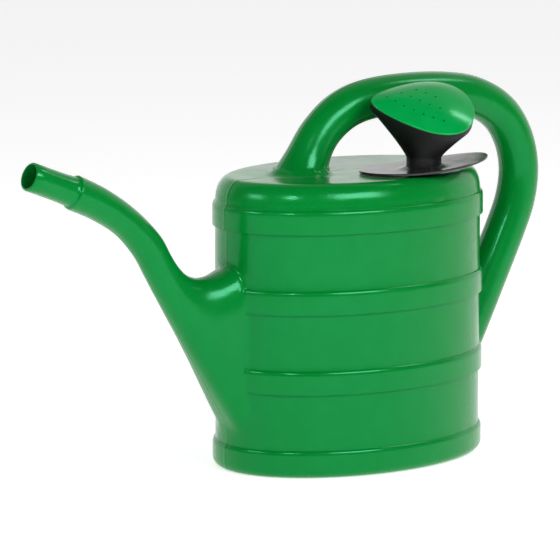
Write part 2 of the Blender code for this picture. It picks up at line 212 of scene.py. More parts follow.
def tank_profile():
    """Pairs of offset and height, from the foot over the bands to the flat top."""
    rows = []
    for k in range(7):
        angle = math.radians(15 * k)
        rows.append((BAND_PROUD - FOOT_ROUND * (1 - math.sin(angle)),
                     FOOT_ROUND * (1 - math.cos(angle))))
    rows += [(BAND_PROUD, z * MM) for z in LOW_BAND_HEIGHTS]
    rows += band_crown(BANDS[0][1] * MM)
    floor = BANDS[0][1]
    for low, high in BANDS[1:]:
        gap = low - floor
        rows += [(0.0, (floor + gap * share) * MM) for share in WALL_SHARES]
        rows += band_foot(low * MM)
        rows += [(BAND_PROUD, (low + (high - low) * share) * MM) for share in BAND_SHARES]
        rows += band_crown(high * MM)
        floor = high
    rise = TANK_TOP - SHOULDER_START
    for k in range(13):
        angle = math.radians(7.5 * k)
        rows.append((-SHOULDER_INSET * (1 - math.cos(angle)),
                     SHOULDER_START + rise * math.sin(angle)))
    return rows


profile = tank_profile()
print(len(profile), "profile points, tank", round(2 * HALF_LENGTH / MM), "by",
      round(2 * HALF_WIDTH / MM), "by", round(TANK_TOP / MM), "mm")

# %% [markdown]
# ## Rings for the tank
# The two halves of the mould leave a fine raised parting line down the ends and across the top.
# It follows the plane Y = 0, so three close columns of vertices are kept there. The middle one is
# lifted later, once the tubes have been joined on.

# %% Tank rings
COLUMNS = 168
SEAM_HALF = 0.8 * MM
TOP_SCALES = (0.94, 0.85, 0.74, 0.62, 0.5, 0.38, 0.26, 0.14, 0.05)
FOOT_SCALES = (0.5, 0.3, 0.1)


def round_angles(count, beside):
    """Even angles, with an extra column on each side of the two parting lines."""
    angles = [k * 2 * math.pi / count for k in range(count)]
    angles += [turn + side * beside for turn in (0, math.pi) for side in (-1, 1)]
    return sorted(angle % (2 * math.pi) for angle in angles)


def oval_ring(offset, height, scale=1.0, angles=None):
    """A ring round the tank, an offset out from its oval and then scaled about its middle."""
    ring = []
    for angle in angles or OVAL_ANGLES:
        point = Vector((HALF_LENGTH * math.cos(angle), HALF_WIDTH * math.sin(angle), 0))
        normal = Vector((math.cos(angle) / HALF_LENGTH, math.sin(angle) / HALF_WIDTH, 0))
        point = (point + normal.normalized() * offset) * scale
        point.z = height
        ring.append(point)
    return ring


OVAL_ANGLES = round_angles(COLUMNS, SEAM_HALF / HALF_WIDTH)
tank_rings = [oval_ring(offset, height) for offset, height in profile]
for scale in TOP_SCALES:
    tank_rings.append(oval_ring(-SHOULDER_INSET, TANK_TOP, scale))
foot_offset = profile[0][0]
foot_scale = 1 - FOOT_RING / HALF_WIDTH
foot_steps = ((0.97, 0.0), (foot_scale, 0.0), (foot_scale - 0.04, 0.6), (foot_scale - 0.1, 1.0))
for scale, lift in foot_steps:
    tank_rings.insert(0, oval_ring(foot_offset, FOOT_HOLLOW * lift, scale))
for scale in FOOT_SCALES:
    tank_rings.insert(0, oval_ring(foot_offset, FOOT_HOLLOW, scale))
tank = solid_from_rings("can_moulding", tank_rings)
print("tank skin", len(tank.data.vertices), "vertices")

# %% [markdown]
# ## Handle and spout
# Both are tubes in the plane Y = 0. A bevelled curve would do for the handle, but the spout starts
# as a deep, narrow wedge on the tank and ends as a round tube, so both are drawn as rings between
# given stations. Two columns of vertices lie on the parting line at the top and the bottom.

# %% Handle rings
TUBE_COLUMNS = 56
CURVE_STEPS = 9
HANDLE_RADIUS = 19.5
HANDLE_LINE = (  # x and z in mm, and thickness as a share of the radius above
    (-62, 246, 1.75), (-55.5, 268, 1.46), (-47.5, 289, 1.1), (-34, 311, 1.0), (-12, 329, 1.0),
    (16, 339, 1.0), (60, 342.5, 1.0), (110, 340.5, 1.0), (148, 333, 1.0), (176, 317, 1.0),
    (194, 292, 1.0), (201.5, 262, 1.0), (198, 232, 1.0), (186, 202, 1.0), (170, 170, 1.02),
    (152, 135, 1.05), (134, 100, 1.05),
)
TUBE_ANGLES = round_angles(TUBE_COLUMNS, SEAM_HALF / (HANDLE_RADIUS * MM))


def tube_ring(centre, up, half_depth, half_width, square=2.0):
    """A section of a tube: an oval, or a rounded box where square is above 2."""
    ring = []
    for turn in TUBE_ANGLES:
        reach = (abs(math.cos(turn)) ** square + abs(math.sin(turn)) ** square) ** (-1 / square)
        ring.append(centre + up * (half_depth * math.cos(turn) * reach)
                    + Vector((0, half_width * math.sin(turn) * reach, 0)))
    return ring


handle_rows = curve_rows(HANDLE_LINE, CURVE_STEPS)
handle_centres = [Vector((x, 0, z)) * MM for x, z, size in handle_rows]
handle_radii = handle_rows[:, 2] * HANDLE_RADIUS * MM


def line_direction(points, k):
    """The direction of a row of points at point k."""
    ahead = points[min(k + 1, len(points) - 1)]
    behind = points[max(k - 1, 0)]
    return (ahead - behind).normalized()


handle_rings = []
for k, (centre, radius) in enumerate(zip(handle_centres, handle_radii)):
    along = line_direction(handle_centres, k)
    up = Vector((-along.z, 0, along.x))
    handle_rings.append(tube_ring(centre, up, radius, radius))
handle = solid_from_rings("handle_tube", handle_rings)
print("handle tube", len(handle_rings), "rings,", round(2 * HANDLE_RADIUS), "mm thick")

# %% Spout rings
SPOUT_STATIONS = (  # upper x and z, lower x and z, half width, all in mm, and squareness
    (-297.04, 293.21, -308.96, 263.29, 16.0, 2.0), (-267.0, 277.8, -283.5, 251.5, 15.6, 2.0),
    (-237.5, 256.6, -258.0, 235.0, 15.2, 2.0), (-214.0, 233.0, -239.0, 214.0, 15.2, 2.0),
    (-202.0, 213.0, -227.0, 194.0, 15.6, 2.0), (-193.5, 200.5, -217.0, 176.5, 16.4, 2.0),
    (-184.0, 191.5, -205.5, 157.0, 18.0, 2.05), (-171.5, 187.0, -190.5, 131.5, 20.5, 2.15),
    (-157.0, 188.0, -174.0, 103.5, 23.5, 2.5), (-142.0, 192.5, -156.5, 73.5, 26.0, 3.2),
    (-124.0, 197.0, -139.5, 45.0, 28.0, 4.0), (-106.0, 201.0, -123.0, 17.0, 29.5, 4.5),
)
SPOUT_TIP = Vector((-349.5 * MM, 0, 296.75 * MM))
TIP_RADIUS = 13.2 * MM
TIP_FLARE = 13.9 * MM
TIP_WALL = 1.8 * MM


def station_parts(row, shrink=0.0):
    """Centre, up direction, half depth, half width and squareness of a spout station."""
    upper = Vector((row[0], 0, row[1])) * MM
    lower = Vector((row[2], 0, row[3])) * MM
    half_depth = (upper - lower).length / 2 - shrink
    up = (upper - lower).normalized()
    return (upper + lower) / 2, up, half_depth, row[4] * MM - shrink, row[5]


spout_rows = curve_rows(SPOUT_STATIONS, CURVE_STEPS)
collar, collar_up, collar_depth = station_parts(spout_rows[0])[:3]
tip_length = (SPOUT_TIP - collar).length
tip_forward = (SPOUT_TIP - collar).normalized()
TIP_PROFILE = (  # distance from the collar, radius
    (0.0, collar_depth), (1.0 * MM, collar_depth - 0.15 * MM), (1.8 * MM, collar_depth - 0.8 * MM),
    (2.2 * MM, TIP_FLARE + 0.5 * MM), (3.2 * MM, TIP_FLARE), (7 * MM, TIP_FLARE - 0.2 * MM),
    (14 * MM, TIP_RADIUS + 0.15 * MM), (26 * MM, TIP_RADIUS), (38 * MM, TIP_RADIUS),
    (tip_length - 0.7 * MM, TIP_RADIUS), (tip_length - 0.2 * MM, TIP_RADIUS - 0.25 * MM),
    (tip_length, TIP_RADIUS - 0.7 * MM),
)
spout_rings = [tube_ring(collar + tip_forward * reach, collar_up, radius, radius)
               for reach, radius in reversed(TIP_PROFILE)]
for row in spout_rows[1:]:
    spout_rings.append(tube_ring(*station_parts(row)))
spout = solid_from_rings("spout_tube", spout_rings)
print("spout", len(spout_rings), "rings, end tube", round(2 * TIP_RADIUS / MM, 1), "mm across")

# %% [markdown]
# ## One seamless moulding
# Where tubes meet the tank, the mould is cut with generous fillets. The three skins are first
# joined by an exact Boolean, which leaves a sharp crease. A Bevel modifier could round it, but it
# often tears where a crease runs across many thin faces. So every vertex near a crease is moved
# onto a smooth union of the three shapes, each written as a distance: below zero inside, above it
# outside. Where two distances are nearly equal, the smooth union bulges out and makes the fillet.

# %% Distances to the tank, the handle and the spout
HANDLE_FILLET = 6.0 * MM
SPOUT_FILLET = 4.5 * MM
LINE_SAMPLES = 900
TINY = 1e-9  # keeps a division from meeting zero
NO_SECTION = 9.0  # metres, farther than any section of the spout
CLEAR = 1.0  # metres, the distance given to a point beside no section


def tank_distance(points):
    """Distance to the tank's profile, carried round its oval."""
    x, y, z = points.T
    size = np.sqrt((x / HALF_LENGTH) ** 2 + (y / HALF_WIDTH) ** 2) + TINY
    slope = np.sqrt((x / HALF_LENGTH ** 2) ** 2 + (y / HALF_WIDTH ** 2) ** 2) / size + TINY
    side = (size - 1) / slope
    heights = np.array([row[1] for row in profile])
    offsets = np.array([row[0] for row in profile])
    wall = side - np.interp(z, heights, offsets)
    rise = TANK_TOP - SHOULDER_START
    run = np.maximum(side + SHOULDER_INSET, 0) / SHOULDER_INSET
    climb = (z - SHOULDER_START) / rise
    reach = np.sqrt(run ** 2 + climb ** 2) + TINY
    fall = np.sqrt((run / SHOULDER_INSET) ** 2 + (climb / rise) ** 2) / reach + TINY
    return np.where(z < SHOULDER_START, wall, (reach - 1) / fall)


handle_centre_array = np.array([tuple(point) for point in handle_centres])


def handle_distance(points):
    """Distance to the nearest of many balls threaded on the handle's line."""
    fine = np.linspace(0, len(handle_radii) - 1, LINE_SAMPLES)
    index = np.arange(len(handle_radii))
    centres = np.stack([np.interp(fine, index, handle_centre_array[:, k]) for k in range(3)], 1)
    radii = np.interp(fine, index, handle_radii)
    gaps = np.linalg.norm(points[:, None] - centres[None], axis=2) - radii[None]
    return gaps.min(1)


section_parts = [station_parts(row) for row in spout_rows]
section_centres = np.array([tuple(part[0]) for part in section_parts])
section_ups = np.array([tuple(part[1]) for part in section_parts])
section_sizes = np.array([part[2:4] for part in section_parts])
section_squares = np.array([part[4] for part in section_parts])


def spout_distance(points):
    """Distance to the section of the spout whose plane passes through each point."""
    normals = np.stack([section_ups[:, 2], 0 * section_ups[:, 0], -section_ups[:, 0]], 1)
    heights = np.einsum("pc,sc->ps", points, normals) - (section_centres * normals).sum(1)
    crossing = (heights[:, :-1] * heights[:, 1:]) <= 0
    nearness = np.linalg.norm(points[:, None] - section_centres[None], axis=2)
    nearness = np.where(crossing, nearness[:, :-1], NO_SECTION)
    start = nearness.argmin(1)
    rows = np.arange(len(points))
    before, after = heights[rows, start], heights[rows, start + 1]
    share = np.clip(before / (before - after + TINY * MM), 0, 1)[:, None]
    centre = section_centres[start] * (1 - share) + section_centres[start + 1] * share
    up = section_ups[start] * (1 - share) + section_ups[start + 1] * share
    size = section_sizes[start] * (1 - share) + section_sizes[start + 1] * share
    away = points - centre
    share = share[:, 0]
    square = section_squares[start] * (1 - share) + section_squares[start + 1] * share
    depth = np.abs((away * up).sum(1)) / size[:, 0] + TINY
    width = np.abs(away[:, 1]) / size[:, 1] + TINY
    reach = (depth ** square + width ** square) ** (1 / square)
    slope = np.hypot(depth ** (square - 1) / size[:, 0], width ** (square - 1) / size[:, 1])
    distance = (reach - 1) / (slope * reach ** (1 - square))
    return np.where(nearness.min(1) >= NO_SECTION, CLEAR, distance)


def smooth_union(first, second, radius):
    """The smaller of two distances, rounded where they are closer together than the radius."""
    mix = np.clip(0.5 + 0.5 * (second - first) / radius, 0, 1)
    return second * (1 - mix) + first * mix - radius * mix * (1 - mix)


def moulding_distance(points):
    """Distance to the whole moulding, fillets included."""
    joined = smooth_union(tank_distance(points), handle_distance(points), HANDLE_FILLET)
    return smooth_union(joined, spout_distance(points), SPOUT_FILLET)


beside = np.array([[0.0, 0.15, 0.1]])
print("a point 150 mm to the side is", round(float(moulding_distance(beside)[0]) / MM, 1),
      "mm outside the moulding")

# %% Join the skins and melt the creases
LONGEST_EDGES = (3.0, 2.0)  # mm, one pass of cutting for each
MERGE = 0.5 * MM
MELT_ROUNDS = 10
MELT_SHARE = 0.5
PROJECT_STEPS = 4
SLOPE_STEP = 0.2 * MM
SLOPE_FLOOR = 0.25
LONGEST_MOVE = 4.0 * MM
SPOUT_SIDE = -100.0 * MM  # the spout's crease lies wholly in front of this X

combine(tank, handle, "UNION")
combine(tank, spout, "UNION")


def crease_mask(points):
    """True near a crease, where two shapes are almost equally far away."""
    body, loop, neck = tank_distance(points), handle_distance(points), spout_distance(points)
    near_loop = (np.abs(body - loop) < HANDLE_FILLET) & (loop < HANDLE_FILLET)
    near_neck = (np.abs(body - neck) < SPOUT_FILLET) & (neck < SPOUT_FILLET)
    return near_loop | (near_neck & (points[:, 0] < SPOUT_SIDE))


def project(points):
    """Newton steps onto the smooth union."""
    points = points.copy()
    for _ in range(PROJECT_STEPS):
        value = moulding_distance(points)
        slope = np.zeros_like(points)
        for axis in range(3):
            shifted = points.copy()
            shifted[:, axis] += SLOPE_STEP
            slope[:, axis] = (moulding_distance(shifted) - value) / SLOPE_STEP
        slope /= np.maximum((slope ** 2).sum(1, keepdims=True), SLOPE_FLOOR)
        points -= np.clip(value, -LONGEST_MOVE, LONGEST_MOVE)[:, None] * slope
    return points


def vertex_places(builder):
    """The places of a bmesh's vertices, as rows of an array."""
    builder.verts.ensure_lookup_table()
    return np.array([tuple(vert.co) for vert in builder.verts])


def triangulate_large(builder):
    """Cut the faces with more than four corners into triangles."""
    bmesh.ops.triangulate(builder, faces=[face for face in builder.faces if len(face.verts) > 4])


builder = bmesh.new()
builder.from_mesh(tank.data)
bmesh.ops.remove_doubles(builder, verts=builder.verts[:], dist=MERGE)
triangulate_large(builder)
for longest in LONGEST_EDGES:
    near = crease_mask(vertex_places(builder))
    long_edges = [edge for edge in builder.edges if edge.calc_length() > longest * MM
                  and near[edge.verts[0].index] and near[edge.verts[1].index]]
    bmesh.ops.subdivide_edges(builder, edges=long_edges, cuts=1, use_grid_fill=True)
    triangulate_large(builder)
places = vertex_places(builder)
near = crease_mask(places)
melted = np.flatnonzero(near)
melted_verts = [builder.verts[i] for i in melted]
for _ in range(MELT_ROUNDS):
    bmesh.ops.smooth_vert(builder, verts=melted_verts, factor=MELT_SHARE,
                          use_axis_x=True, use_axis_y=True, use_axis_z=True)
    moved = project(np.array([tuple(vert.co) for vert in melted_verts]))
    for vert, place in zip(melted_verts, moved):
        vert.co = place
builder.to_mesh(tank.data)
builder.free()
print("melted", len(melted), "of", len(places), "vertices")

# %% [markdown]
# ## Parting line, sink marks and the hollow
# Now that the outside is one skin, three things happen to it. Every vertex on the plane Y = 0 is
# lifted a fraction of a millimetre, which draws the parting line over the tubes, the top and the
# ends. The whole skin is pushed in and out by slow noise, because cooling plastic sinks unevenly.
# Then the inside is cut away: the tank's hollow, the water way, the mouth and the filler hole.

# %% Parting line and sink marks
SEAM_LIFT = 0.24 * MM
SEAM_REACH = 0.9 * SEAM_HALF
SINK = 0.3 * MM
SINK_SCALES = (13.0, 41.0)
SMALL_SINK_SHARE = 0.35
FLAT_FOOT = 2 * MM

builder = bmesh.new()
builder.from_mesh(tank.data)
builder.normal_update()
moves = []
for vert in builder.verts:
    wide, small = (noise.noise(vert.co * scale) for scale in SINK_SCALES)
    slow = wide + SMALL_SINK_SHARE * small
    seam = SEAM_LIFT * max(0.0, 1 - abs(vert.co.y) / SEAM_REACH)
    moves.append(vert.normal * (SINK * slow + seam))
for vert, move in zip(builder.verts, moves):
    if vert.co.z > FLAT_FOOT:
        vert.co += move
builder.to_mesh(tank.data)
builder.free()
print("longest skin move", round(max(move.length for move in moves) / MM, 2), "mm")

# %% The hollow and the water way
INNER_COLUMNS = 72
INNER_ANGLES = [k * 2 * math.pi / INNER_COLUMNS for k in range(INNER_COLUMNS)]
TIP_OVERSHOOT = 2 * MM
WAY_START = 4  # the first spout row that the water way follows, after the collar
FILLER_CENTRE = Vector((50, -44, 275)) * MM
FILLER_HALF = (40 * MM, 22 * MM)
FILLER_STEPS = ((-12.0, 0.0), (-0.8, 0.0), (0.0, 0.5), (3.0, 2.0))  # height and flare, mm
INNER_PROFILE = ((-9.0, 5.6), (-4.0, 6.6), (-WALL / MM, 10.0), (-WALL / MM, 250.0),
                 (-7.0, 263.0), (-16.0, 272.4))
inner_rings = [oval_ring(offset * MM, height * MM, 1.0, INNER_ANGLES)
               for offset, height in INNER_PROFILE]
hollow = solid_from_rings("hollow", inner_rings)
way_radius = TIP_RADIUS - TIP_WALL
way_rings = [tube_ring(collar + tip_forward * reach, collar_up, way_radius, way_radius)
             for reach in (tip_length + TIP_OVERSHOOT, tip_length * 0.5, 0.0)]
for row in spout_rows[WAY_START:]:
    way_rings.append(tube_ring(*station_parts(row, WALL)))
water_way = solid_from_rings("water_way", way_rings)
combine(hollow, water_way, "UNION")
filler_rings = []
for height, flare in FILLER_STEPS:
    half_length, half_width = (half + flare * MM for half in FILLER_HALF)
    filler_rings.append([FILLER_CENTRE + Vector((half_length * math.cos(angle),
                                                 half_width * math.sin(angle), height * MM))
                         for angle in INNER_ANGLES])
combine(hollow, solid_from_rings("filler", filler_rings), "UNION")
can_moulding = combine(tank, hollow, "DIFFERENCE")
shade(can_moulding.data, 42)
print("moulding", len(can_moulding.data.vertices), "vertices")

# %% [markdown]
# ## The rose's own directions
# The face leans away from the handle, so every part of the rose is laid out along three directions
# of its own: along the long axis of its pear-shaped rim, across it, and out of the face.

# %% Rose directions
FACE_CENTRE = Vector((39.9, -62.8, 337.6)) * MM
FACE_LEAN = math.radians(33.0)
FACE_LEAN_HEADING = math.radians(-107.0)
FACE_LONG_HEADING = math.radians(-31.7)
FACE_HALF_LENGTH = 49.0 * MM
FACE_HALF_WIDTH = 35.4 * MM
FACE_PEAR = 0.42  # how much wider the rim is towards its blunt end
ROSE_COLUMNS = 120

OUT = Vector((math.sin(FACE_LEAN) * math.cos(FACE_LEAN_HEADING),
              math.sin(FACE_LEAN) * math.sin(FACE_LEAN_HEADING), math.cos(FACE_LEAN)))
ALONG = Vector((math.cos(FACE_LONG_HEADING), math.sin(FACE_LONG_HEADING), 0))
ALONG = (ALONG - OUT * ALONG.dot(OUT)).normalized()
ACROSS = OUT.cross(ALONG)


def rim_ring(inset=0.0, lift=0.0, share=1.0):
    """The pear-shaped rim, moved in, lifted along OUT, or shrunk to a share of its size."""
    ring = []
    for k in range(ROSE_COLUMNS):
        turn = 2 * math.pi * k / ROSE_COLUMNS
        x = FACE_HALF_LENGTH * math.cos(turn)
        y = FACE_HALF_WIDTH * math.sin(turn) * (1 + FACE_PEAR * math.cos(turn))
        scale = share * (1 - inset / math.hypot(x, y))
        ring.append(FACE_CENTRE + ALONG * (x * scale) + ACROSS * (y * scale) + OUT * lift)
    return ring


print("face looks towards", tuple(round(value, 3) for value in OUT))

# %% [markdown]
# ## Rose funnel
# A straight neck slides over the spout's end. Above it the wall flares like a trumpet while the
# section changes from a circle to the pear-shaped rim, and a short straight band under the rim
# takes the face's skirt. The outside and the inside are lofted as one closed skin, over the lip.

# %% Rose funnel
NECK_CENTRE = Vector((41.7, -62.8, 275.6)) * MM
NECK_RADIUS = 16.4 * MM
NECK_HEIGHT = 15.0 * MM
ROSE_WALL = 1.8 * MM
RIM_BAND = 6.5 * MM
FLARE_STEPS = 26
FLARE_POWER = 1.15
LIP = 0.4 * MM


def neck_ring(height, inset=0.0):
    """A round section whose points line up with the rim's."""
    ring = []
    start = ALONG.xy.normalized()
    for point in rim_ring():
        away = (point - FACE_CENTRE).xy
        turn = math.atan2(start.cross(away), start.dot(away)) + math.atan2(start.y, start.x)
        radius = NECK_RADIUS - inset
        ring.append(NECK_CENTRE + Vector((radius * math.cos(turn), radius * math.sin(turn),
                                          height)))
    return ring


def flare_rings(inset):
    """Sections from the top of the neck to the foot of the rim's band."""
    low_ring, high_ring = neck_ring(NECK_HEIGHT, inset), rim_ring(inset, -RIM_BAND)
    rings = []
    for k in range(1, FLARE_STEPS + 1):
        t = k / FLARE_STEPS
        spread = t ** FLARE_POWER
        ring = []
        for low, high in zip(low_ring, high_ring):
            place = low.lerp(high, spread)
            place.z = low.z + (high.z - low.z) * t
            ring.append(place)
        rings.append(ring)
    return rings


builder = bmesh.new()
outside = [neck_ring(0.0, LIP), neck_ring(LIP)]
outside += [neck_ring(NECK_HEIGHT * share) for share in (0.25, 0.5, 0.75, 1.0)]
outside += flare_rings(0.0) + [rim_ring(0.0, -LIP), rim_ring(LIP, 0.0)]
inside = [neck_ring(NECK_HEIGHT * share, ROSE_WALL) for share in (0.0, 0.5, 1.0)]
inside += flare_rings(ROSE_WALL) + [rim_ring(ROSE_WALL, 0.0)]
loops = skin(builder, outside + list(reversed(inside)))
bridge(builder, loops[-1], loops[0])
rose_funnel = finish_mesh("rose_funnel_shell", builder, 35)
print("funnel", len(rose_funnel.data.vertices), "vertices")

# %% [markdown]
# ## Rose face
# The face is a shallow dome with a rounded edge and a skirt that snaps into the funnel. Its small
# holes lie on arcs round one centre, about ten millimetres apart, and are drilled with a Boolean.

# %% Rose face
GAP = 0.3 * MM
FACE_DOME = 9.0 * MM
DOME_POWER = 2.2
DOME_ANGLES = range(14, 90, 5)
FACE_EDGE = 1.6 * MM
FACE_SIDE = 0.7 * FACE_EDGE
EDGE_ROUND = 1.0 * MM
RIM_CHAMFER = 0.3 * MM
FACE_SKIRT = 5.0 * MM
FACE_THICKNESS = 1.8 * MM
HOLE_RADIUS = 0.95 * MM
HOLE_SIDES = 16
DRILL_LENGTH = 40 * MM
HOLE_PITCH = 10.0
HOLE_ROW_CENTRE = (36.8, 76.4)  # along and across the face, mm
HOLE_ROW_MIDDLE = math.radians(-117.5)
HOLE_ROWS = ((103.4, 7), (89.8, 5), (76.2, 3))  # arc radius in mm, holes


def dome(inset, lift):
    """Rings that shrink and rise from the rim to the top of the dome."""
    shares = [math.cos(math.radians(angle)) for angle in DOME_ANGLES]
    return [rim_ring(inset, lift + FACE_DOME * (1 - share ** DOME_POWER), share)
            for share in shares]


builder = bmesh.new()
skirt_inset = ROSE_WALL + GAP
outside = [rim_ring(skirt_inset, -FACE_SKIRT), rim_ring(skirt_inset, GAP),
           rim_ring(RIM_CHAMFER, GAP), rim_ring(0.0, GAP + RIM_CHAMFER),
           rim_ring(0.0, GAP + FACE_SIDE)]
for angle in (22.5, 45, 67.5):
    turn = math.radians(angle)
    outside.append(rim_ring(EDGE_ROUND * (1 - math.cos(turn)),
                            GAP + FACE_SIDE + EDGE_ROUND * math.sin(turn)))
outside += dome(0.0, GAP + FACE_EDGE)
inside = [rim_ring(skirt_inset + FACE_THICKNESS, -FACE_SKIRT)]
inside += dome(skirt_inset + FACE_THICKNESS, GAP + FACE_EDGE - FACE_THICKNESS)
outer_loops = skin(builder, outside, False, True)
inner_loops = skin(builder, inside, False, True)
bridge(builder, outer_loops[0], inner_loops[0])
rose_face = finish_mesh("rose_face_cap", builder, 40)

builder = bmesh.new()
face_turn = Matrix((ALONG, ACROSS, OUT)).transposed().to_4x4()
hole_total = 0
for radius, count in HOLE_ROWS:
    for k in range(count):
        turn = HOLE_ROW_MIDDLE + (k - (count - 1) / 2) * HOLE_PITCH / radius
        along_face = HOLE_ROW_CENTRE[0] + radius * math.cos(turn)
        across_face = HOLE_ROW_CENTRE[1] + radius * math.sin(turn)
        place = FACE_CENTRE + (ALONG * along_face + ACROSS * across_face) * MM
        bmesh.ops.create_cone(builder, cap_ends=True, segments=HOLE_SIDES, radius1=HOLE_RADIUS,
                              radius2=HOLE_RADIUS, depth=DRILL_LENGTH,
                              matrix=Matrix.Translation(place) @ face_turn)
        hole_total += 1
combine(rose_face, finish_mesh("face_drill", builder), "DIFFERENCE")
shade(rose_face.data, 40)
print("face with", hole_total, "holes")

# %% [markdown]
# ## Lid plate
# The plate is cut from flexible black sheet. It lies over the filler hole, curls up at the end
# beside the handle, and has a round hole with radial slits. The fingers between the slits are
# pushed up a little by the neck that stands in the hole.

# %% Lid plate
PLATE_CENTRE = Vector((47.5, -54.4, 276.0)) * MM
PLATE_HALF = (62.5 * MM, 38.5 * MM)
PLATE_TURN = math.radians(-17.0)
PLATE_THICKNESS = 2.4 * MM
PLATE_CURL = 12.0 * MM
PLATE_CURL_POWER = 2.1
PLATE_HOLE = NECK_RADIUS + GAP
PLATE_COLUMNS = 144
PLATE_SHARES = (0.0, 0.06, 0.12, 0.2, 0.3, 0.42, 0.55, 0.68, 0.8, 0.9)
EDGE = 0.5 * MM
SLIT_WIDTH = 1.5 * MM
SLIT_LENGTH = 7.0 * MM
SLIT_OVERLAP = 1.0 * MM
SLIT_CUT_HEIGHT = 30.0 * MM
SLIT_COUNT = 8
FINGER_LIFT = 2.4 * MM
FINGER_REACH = 1.3 * SLIT_LENGTH

plate_turn = Matrix.Rotation(PLATE_TURN, 3, "Z")
plate_hole = plate_turn.transposed() @ (NECK_CENTRE - PLATE_CENTRE)
plate_hole.z = 0


def plate_ring(share, lift, draw_in=0.0):
    """A ring between the neck's hole (share 0) and the plate's edge (share 1)."""
    ring = []
    for k in range(PLATE_COLUMNS):
        angle = 2 * math.pi * k / PLATE_COLUMNS
        edge = Vector(((PLATE_HALF[0] - draw_in) * math.cos(angle),
                       (PLATE_HALF[1] - draw_in) * math.sin(angle), 0))
        near = plate_hole + (edge - plate_hole).normalized() * PLATE_HOLE
        local = near.lerp(edge, share)
        run = max(0.0, (local.x + PLATE_HALF[0]) / (2 * PLATE_HALF[0]))
        reach = (local - plate_hole).length - PLATE_HOLE
        finger = max(0.0, 1 - reach / FINGER_REACH) ** 2
        local.z = PLATE_CURL * run ** PLATE_CURL_POWER + FINGER_LIFT * finger + lift
        ring.append(PLATE_CENTRE + plate_turn @ local)
    return ring


builder = bmesh.new()
around = [plate_ring(share, 0.0) for share in PLATE_SHARES]
around += [plate_ring(1.0, 0.0, EDGE), plate_ring(1.0, EDGE),
           plate_ring(1.0, PLATE_THICKNESS - EDGE), plate_ring(1.0, PLATE_THICKNESS, EDGE)]
around += [plate_ring(share, PLATE_THICKNESS) for share in reversed(PLATE_SHARES)]
loops = skin(builder, around)
bridge(builder, loops[-1], loops[0])
lid_sheet = finish_mesh("lid_sheet", builder, 35)

builder = bmesh.new()
for k in range(SLIT_COUNT):
    turn = Matrix.Rotation(2 * math.pi * (k + 0.5) / SLIT_COUNT, 4, "Z")
    middle = Matrix.Translation((PLATE_HOLE + SLIT_LENGTH / 2 - SLIT_OVERLAP, 0, 0))
    size = Matrix.Diagonal((SLIT_LENGTH + 2 * SLIT_OVERLAP, SLIT_WIDTH, SLIT_CUT_HEIGHT, 1))
    place = Matrix.Translation(NECK_CENTRE) @ turn @ middle @ size
    bmesh.ops.create_cube(builder, size=1.0, matrix=place)
combine(lid_sheet, finish_mesh("slits", builder), "DIFFERENCE")
shade(lid_sheet.data, 35)
print("lid sheet", len(lid_sheet.data.vertices), "vertices")

# %% [markdown]
# ## A small language for shaders
# Procedural looks are mostly arithmetic: noise times an amount, plus an offset, clipped. With
# sockets wrapped in a class, that arithmetic reads as ordinary sums, and each sign adds a node.

# %% Shader arithmetic


class Value:
    """A shader output. Sums and products of it add Math nodes to its tree."""

    def __init__(self, look, socket):
        self.look = look
        self.socket = socket

    def math(self, operation, *others, clamp=False):
        inputs = {k: item for k, item in enumerate(others)}
        return self.look.add("ShaderNodeMath", {"operation": operation, "use_clamp": clamp}, inputs)

    def __add__(self, other):
        return self.math("ADD", self, other)

    def __sub__(self, other):
        return self.math("SUBTRACT", self, other)

    def __mul__(self, other):
        return self.math("MULTIPLY", self, other)

    def __rsub__(self, other):
        return self.math("SUBTRACT", other, self)

    __radd__ = __add__
    __rmul__ = __mul__

    def clipped(self):
        return self.math("ADD", self, 0.0, clamp=True)

    def above(self, low, high):
        """0 below low, 1 above high, and a smooth step between them."""
        settings = {"interpolation_type": "SMOOTHSTEP"}
        inputs = {"Value": self, "From Min": low, "From Max": high}
        return self.look.add("ShaderNodeMapRange", settings, inputs)


class Look:
    """One material, with one method that adds any node to its tree."""

    def __init__(self, name):
        self.material = bpy.data.materials.new(name)
        self.material.use_nodes = True
        self.tree = self.material.node_tree
        self.shader = self.tree.nodes["Principled BSDF"]

    def feed(self, socket, item):
        """Link a value to a socket, or set a number or a colour on it."""
        if isinstance(item, Value):
            self.tree.links.new(item.socket, socket)
        else:
            socket.default_value = item

    def add(self, kind, settings=None, inputs=None, output=0):
        """Add a node, with its settings first, then its sockets."""
        node = self.tree.nodes.new(kind)
        for key, item in (settings or {}).items():
            setattr(node, key, item)
        for key, item in (inputs or {}).items():
            self.feed(node.inputs[key], item)
        return Value(self, node.outputs[output])

    def noise(self, scale, detail=3.0, roughness=0.5, stretch=(1.0, 1.0, 1.0)):
        """Noise that is fixed to the object. The scale is in cells per metre."""
        place = self.add("ShaderNodeTexCoord", output="Object")
        scaled = self.add("ShaderNodeVectorMath", {"operation": "MULTIPLY"}, {0: place, 1: stretch})
        inputs = {"Vector": scaled, "Scale": scale, "Detail": detail, "Roughness": roughness}
        return self.add("ShaderNodeTexNoise", {}, inputs)

    def blend(self, share, first, second):
        """A colour between two, the first where the share is 0."""
        return self.add("ShaderNodeMix", {"data_type": "RGBA"},
                        {0: share, 6: first, 7: second}, output=2)

    def bump(self, height):
        """A normal from heights in millimetres."""
        inputs = {"Height": height, "Distance": MM, "Strength": 1.0}
        return self.add("ShaderNodeBump", {}, inputs)

    def finish(self, **sockets):
        """Feed the shader's own sockets. An underscore stands for a space."""
        for key, item in sockets.items():
            self.feed(self.shader.inputs[key.replace("_", " ")], item)


print("shader language ready: Value and Look")

